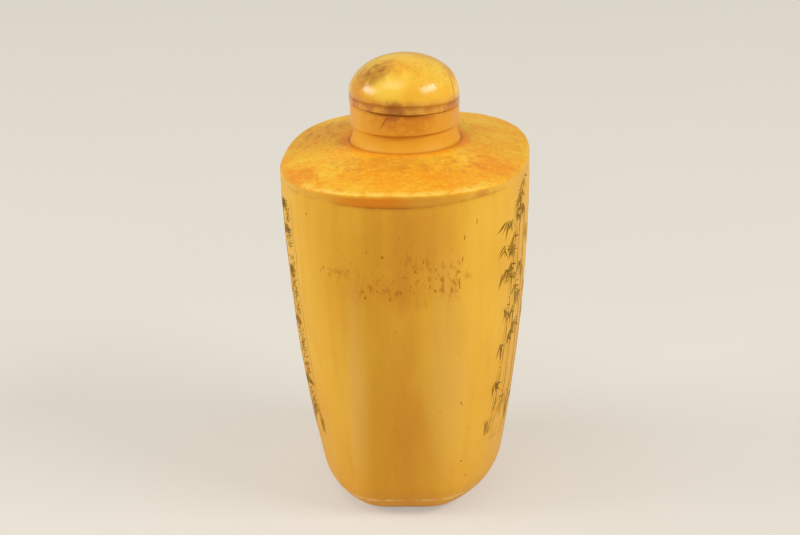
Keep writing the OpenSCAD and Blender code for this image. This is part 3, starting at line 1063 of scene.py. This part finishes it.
def body_bone():
    look = Look("bone_body", HONEY, 0.26, WARM_SHEEN)
    bone_grain(look, HONEY_PALE, HONEY_DARK)
    # Painted shade: the body grows darker towards the foot.
    look.lay(look.ramp(look.z, 30, 0, 0, 0.4), HONEY_DARK)
    look.patches(BODY_STAINS_AND_SHEEN, look.ramp(look.noise(0.3, stretch=STREAKED), 0.3, 0.7, -0.2, 0.2))
    dots = look.ramp(look.cells(0.9, (1, 1, 0.45)), 0.1, 0.04)
    look.lay(dots, PORE, within=look.ramp(look.noise(0.14, 2), 0.55, 0.7, 0, 0.4))
    open_pores(look)
    seam_dirt(look)
    chalk = look.band(look.z, SEAM_BOTTOM, 0.28, 0.75)
    look.lay(chalk, CHALK, within=look.ramp(look.noise(0.5, 4), 0.35, 0.55))
    relief = look.math("SUBTRACT", look.noise(2.4, 4, stretch=LENGTHWISE), dots)
    return look.finish(look.ramp(look.noise(0.5), 0.3, 0.7, 0.42, 0.56), relief)


def porous_bone():
    """Porous slope with pits and stains, over a rim band of compact bone whose upper edge is worn and
    carries a painted highlight at the front.
    """
    look = Look("bone_porous", ORANGE, 0.35, WARM_SHEEN)
    sponge = look.noise(1.3, 6, 0.72)
    coarse = look.noise(0.5, 4, 0.6)
    fine = look.noise(3.2, 2)
    look.lay(look.ramp(look.noise(0.12), 0.35, 0.65), ORANGE_PALE)
    look.lay(look.ramp(coarse, 0.5, 0.7, 0, 0.4), ORANGE_DEEP)
    look.patches(SLOPE_STAINS, look.warp(0.5, 0.6))
    look.lay(look.ramp(sponge, 0.5, 0.62, 0, 0.42), ORANGE_DEEP)
    look.lay(look.ramp(sponge, 0.47, 0.38, 0, 0.52), ORANGE_PALE)
    look.lay(look.ramp(fine, 0.55, 0.72, 0, 0.24), STAIN_PINK)
    look.lay(look.ramp(fine, 0.42, 0.28, 0, 0.24), ORANGE_PALE)
    fibres = look.ramp(look.noise(0.9, 4, stretch=(1, 0.25, 1)), 0.5, 0.66)
    look.lay(fibres, STAIN_PINK, within=look.spot((-15, 7, 63.8), (5.5, 9, 4), 0.55))
    open_grain = look.ramp(look.noise(0.2, 2), 0.44, 0.62, 0.1, 0.8)
    pits = look.math("MULTIPLY", look.ramp(look.cells(1.7), 0.17, 0.07), open_grain)
    look.lay(pits, STAIN_PINK)
    slope, look.colour = look.colour, HONEY
    bone_grain(look, HONEY_PALE, HONEY_DARK)
    look.patches(RIM_STAINS)
    look.lay(look.ramp(look.z, RIM_HEIGHT - 0.9, RIM_HEIGHT - 0.05), slope)
    # Painted highlight and wear: a pale line along the front of the rim's upper edge.
    front = look.ramp(look.math("ABSOLUTE", look.x), 17, 13)
    worn = look.math("MULTIPLY", look.band(look.z, RIM_HEIGHT - 0.05, 0.3, 0.75), front)
    look.lay(worn, EDGE_HIGHLIGHT_AND_WEAR, within=look.ramp(coarse, 0.35, 0.55))
    seam_dirt(look)
    radial = look.length(look.vector("MULTIPLY", look.position, (1, 1, 0)))
    # Painted shade round the neck's foot: a broad deep-orange band and a brown band, with a dark glue
    # line at the joint.
    look.lay(look.band(radial, SEAT_RADIUS + 0.1, 2.4, 0.55), ORANGE_DEEP)
    look.lay(look.band(radial, SEAT_RADIUS + 0.1, 0.8, 0.3), CREVICE_SHADE_AND_DIRT)
    look.lay(look.band(radial, SEAT_RADIUS - 0.05, 0.3, 0.4), CREVICE_SHADE_AND_DIRT)
    relief = look.math("SUBTRACT", sponge, look.math("MULTIPLY", pits, 0.6))
    return look.finish(look.ramp(sponge, 0.35, 0.65, 0.36, 0.52), relief, 0.3, 0.0002)


def neck_bone():
    look = Look("bone_neck", NECK, 0.2, WARM_SHEEN)
    bone_grain(look, NECK_PALE, ORANGE_DEEP)
    # A dark glue line with painted shade at the neck's foot, and painted shade at its top under the
    # collar.
    look.lay(look.band(look.z, SEAT_HEIGHT, 0.35, 0.35), CREVICE_SHADE_AND_DIRT)
    look.lay(look.band(look.z, NECK_TOP, 0.7, 0.15), CREVICE_SHADE_AND_DIRT)
    return look.finish(0.44, look.noise(2, 4), 0.08)


def collar_bone():
    look = Look("bone_collar", COLLAR, 0.3, WARM_SHEEN)
    bone_grain(look, COLLAR_PALE, COLLAR_DARK)
    look.patches(COLLAR_STAINS, look.warp(1, 0.5))
    # Painted shade on the collar under the dome's lip.
    shade = lip_shade(look, 0.7, 0.12)
    dark_line(look, lip_level(look), DOME_BOTTOM - LIP_DROP, shade, (0.9, 0.6), (0.42, 0.7))
    # Painted shade along the collar's foot, where it meets the neck.
    look.lay(look.band(look.z, NECK_TOP, 0.4, 0.1), CREVICE_SHADE_AND_DIRT)
    return look.finish(0.32, look.noise(2, 4), 0.08)


def dome_bone():
    look = Look("bone_dome", YELLOW, 0.28)
    look.feed(look.shader, {"Coat Weight": 0.34, "Coat Roughness": 0.17})
    look.lay(look.ramp(look.noise(0.2, 4), 0.35, 0.65), YELLOW_PALE)
    look.lay(look.ramp(look.noise(0.8, 5), 0.52, 0.7, 0, 0.45), ORANGE)
    look.patches(DOME_STAINS_AND_REFLECTION, look.warp(0.8, 0.38, 5))
    right = look.spot((5, -4.6, 77.6), (4.5, 5, 3), 0.6, 0.5)
    left = look.spot((-5, -4.8, 77.6), (3.2, 3, 2.4), 0.35, 0.5)
    specks = look.ramp(look.cells(1.9), 0.3, 0.1)
    look.lay(specks, STAIN_BROWN, within=look.math("MAXIMUM", right, left))
    level = lip_level(look)
    bead = look.ramp(level, BEAD_TOP + 1.6, BEAD_TOP - 0.4, 0, 0.85)
    look.lay(bead, LIP_BROWN, within=look.ramp(look.noise(0.5, 4), 0.35, 0.6, 0.5, 1))
    look.patches((LIP_SMEAR,), look.warp(1.2, 0.3))
    look.lay(look.band(level, BEAD_TOP - LIP_DROP, 0.5, 0.3), STAIN_BROWN)
    # Painted shade: a dark line on the lip's underside, strongest at the front.
    shade = lip_shade(look, 0.4, 0.1)
    look.lay(look.band(level, DOME_BOTTOM - LIP_DROP, 0.3, 1), CREVICE_DARK_SHADE_AND_DIRT, within=shade)
    return look.finish(look.ramp(look.noise(0.6), 0.3, 0.7, 0.2, 0.3), look.noise(1.6, 4), 0.03)


def spoon_bone():
    look = Look("bone_spoon", SPOON)
    bone_grain(look, YELLOW_PALE, HONEY)
    return look.finish(0.3, look.noise(2, 4, stretch=LENGTHWISE))


def cork_bark():
    look = Look("cork", CORK_LIGHT, 0.3)
    look.lay(look.ramp(look.noise(0.9, 5, 0.7), 0.35, 0.65), CORK_MID)
    look.lay(look.ramp(look.cells(0.8, (1, 1, 0.6)), 0.24, 0.1, 0, 0.85), CORK_DARK)
    return look.finish(0.85, look.noise(2.5, 5), 0.5, 0.0003)


def engraving_ink():
    look = Look("ink", INK, 0.1)
    look.lay(look.ramp(look.noise(0.5, 4), 0.35, 0.65), INK_FADED)
    return look.finish(0.7)


def pore_dirt():
    look = Look("pore_dirt", PORE, 0.05)
    look.lay(look.ramp(look.x, 2, 6), PORE_PINK)
    look.lay(look.ramp(look.noise(0.35), 0.35, 0.65, 0.3, 0.8), HONEY_DARK)
    return look.finish(0.8)


def crack_dirt():
    look = Look("crack_dirt", STAIN_PURPLE, 0.1)
    look.lay(look.ramp(look.noise(0.6), 0.35, 0.65, 0.4, 1), STAIN_PINK)
    return look.finish(0.8)


# The bottle
TURNS = outline_turns(340)
PLATE_TURNS = outline_turns(460)
BONE = body_bone()
INKED = engraving_ink()
DIRT = pore_dirt()
CRACKED = crack_dirt()
PIECES = (
    (build_tube(TURNS), BONE, "bottle", "bone", "body_tube"),
    (build_base(TURNS), BONE, "bottle", "bone", "base_plate"),
    (build_shoulder(PLATE_TURNS), porous_bone(), "bottle", "porous_bone", "shoulder_plate"),
    (build_neck(), neck_bone(), "bottle", "bone", "neck_ring"),
    (build_collar(), collar_bone(), "stopper", "bone", "stopper_collar"),
    (build_dome(), dome_bone(), "stopper", "polished_bone", "stopper_dome"),
    (build_cork(), cork_bark(), "stopper", "cork", "stopper_cork"),
    (build_spoon(), spoon_bone(), "stopper", "polished_bone", "snuff_spoon"),
    (bamboo_side(), INKED, "bottle", "bone", None),
    (landscape_side(), INKED, "bottle", "bone", None),
    (end_pores("front_pores", -1, 5, FRONT_PORES, FRONT_ZONES), DIRT, "bottle", "bone", None),
    (end_pores("back_pores", 1, 8, (), BACK_ZONES), DIRT, "bottle", "bone", None),
    (cracks("dome_cracks", dome_place, DOME_CRACKS), CRACKED, "stopper", "polished_bone", None),
    (cracks("collar_cracks", collar_place, COLLAR_CRACKS), CRACKED, "stopper", "bone", None),
)
for piece, material, body, slot, node in PIECES:
    piece.data.materials.append(material)
    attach(piece, body)
    if node:
        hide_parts(node)

# Floor, light and camera, in metres apart from the floor
FLOOR_HALF = 3000.0
PALE = (0.84, 0.79, 0.70, 1)
PALE_DARKER = (0.82, 0.77, 0.68, 1)
PALE_GLOW = (0.80, 0.76, 0.69, 1)
GLOW_SHARE = 0.5
LIGHT_TARGET = Vector((0, 0, 0.05))
# Softboxes as azimuth, elevation, distance, width, height and power
SOFTBOXES = {
    "left_softbox": (-80, 27, 0.9, 0.46, 0.27, 3.45),
    "right_softbox": (69, 36, 0.9, 0.52, 0.27, 4.5),
    "top_fill": (-33, 62, 1.2, 0.7, 0.5, 2.6),
}
AMBIENT = (1, 0.96, 0.88, 1)
AMBIENT_STRENGTH = 0.36


def build_floor():
    h = FLOOR_HALF
    floor = make_mesh("floor", [(-h, -h, 0), (h, -h, 0), (h, h, 0), (-h, h, 0)], [(0, 1, 2, 3)])
    look = Look("pale_floor", PALE)
    look.lay(look.ramp(look.noise(0.01), 0.3, 0.7), PALE_DARKER)
    floor.data.materials.append(look.finish(0.7))
    look.glow(PALE_GLOW, GLOW_SHARE)


def direction(azimuth, elevation):
    """Unit vector away from the bottle: azimuth is counted from the plain front end towards +X."""
    flat = math.cos(elevation)
    return Vector((math.sin(azimuth) * flat, -math.cos(azimuth) * flat, math.sin(elevation)))


def build_lights():
    for name, (azimuth, elevation, distance, width, height, power) in SOFTBOXES.items():
        way = direction(math.radians(azimuth), math.radians(elevation))
        data = bpy.data.lights.new(name, "AREA")
        data.shape = "RECTANGLE"
        data.size = width
        data.size_y = height
        data.energy = power
        lamp = add_object(name, data)
        lamp.location = LIGHT_TARGET + way * distance
        lamp.rotation_euler = (-way).to_track_quat("-Z", "Y").to_euler()
    world = bpy.data.worlds.new("studio")
    SCENE.world = world
    world.use_nodes = True
    background = world.node_tree.nodes["Background"]
    background.inputs["Color"].default_value = AMBIENT
    background.inputs["Strength"].default_value = AMBIENT_STRENGTH


# Camera fitted to the photograph's frame of 800 by 535 pixels
IMAGE_WIDTH = 800
FOCAL_PIXELS = 2400
SENSOR_MM = 36.0
VIEW_DISTANCE = 0.436431
VIEW_ELEVATION = math.radians(19.253)
VIEW_YAW = math.radians(5.625)
VIEW_ROLL = math.radians(-1.552)
VIEW_TARGET = Vector((0, 0, 0.040))
OFFSET_X_PIXELS = 8.849
OFFSET_Y_PIXELS = 0.44


def build_camera():
    back = direction(VIEW_YAW, VIEW_ELEVATION)
    level = Vector((math.cos(VIEW_YAW), math.sin(VIEW_YAW), 0))
    upright = back.cross(level)
    right = math.cos(VIEW_ROLL) * level + math.sin(VIEW_ROLL) * upright
    up = -math.sin(VIEW_ROLL) * level + math.cos(VIEW_ROLL) * upright
    data = bpy.data.cameras.new("camera")
    data.sensor_width = SENSOR_MM
    data.lens = FOCAL_PIXELS / IMAGE_WIDTH * SENSOR_MM
    data.shift_x = -OFFSET_X_PIXELS / IMAGE_WIDTH
    data.shift_y = OFFSET_Y_PIXELS / IMAGE_WIDTH
    data.clip_start = 0.01
    data.clip_end = 20
    camera = add_object("camera", data)
    turn = Matrix((right, up, back)).transposed().to_quaternion()
    camera.matrix_world = Matrix.LocRotScale(VIEW_TARGET + back * VIEW_DISTANCE, turn, None)
    SCENE.camera = camera


build_floor()
build_lights()
build_camera()
SCENE.view_settings.view_transform = "Standard"
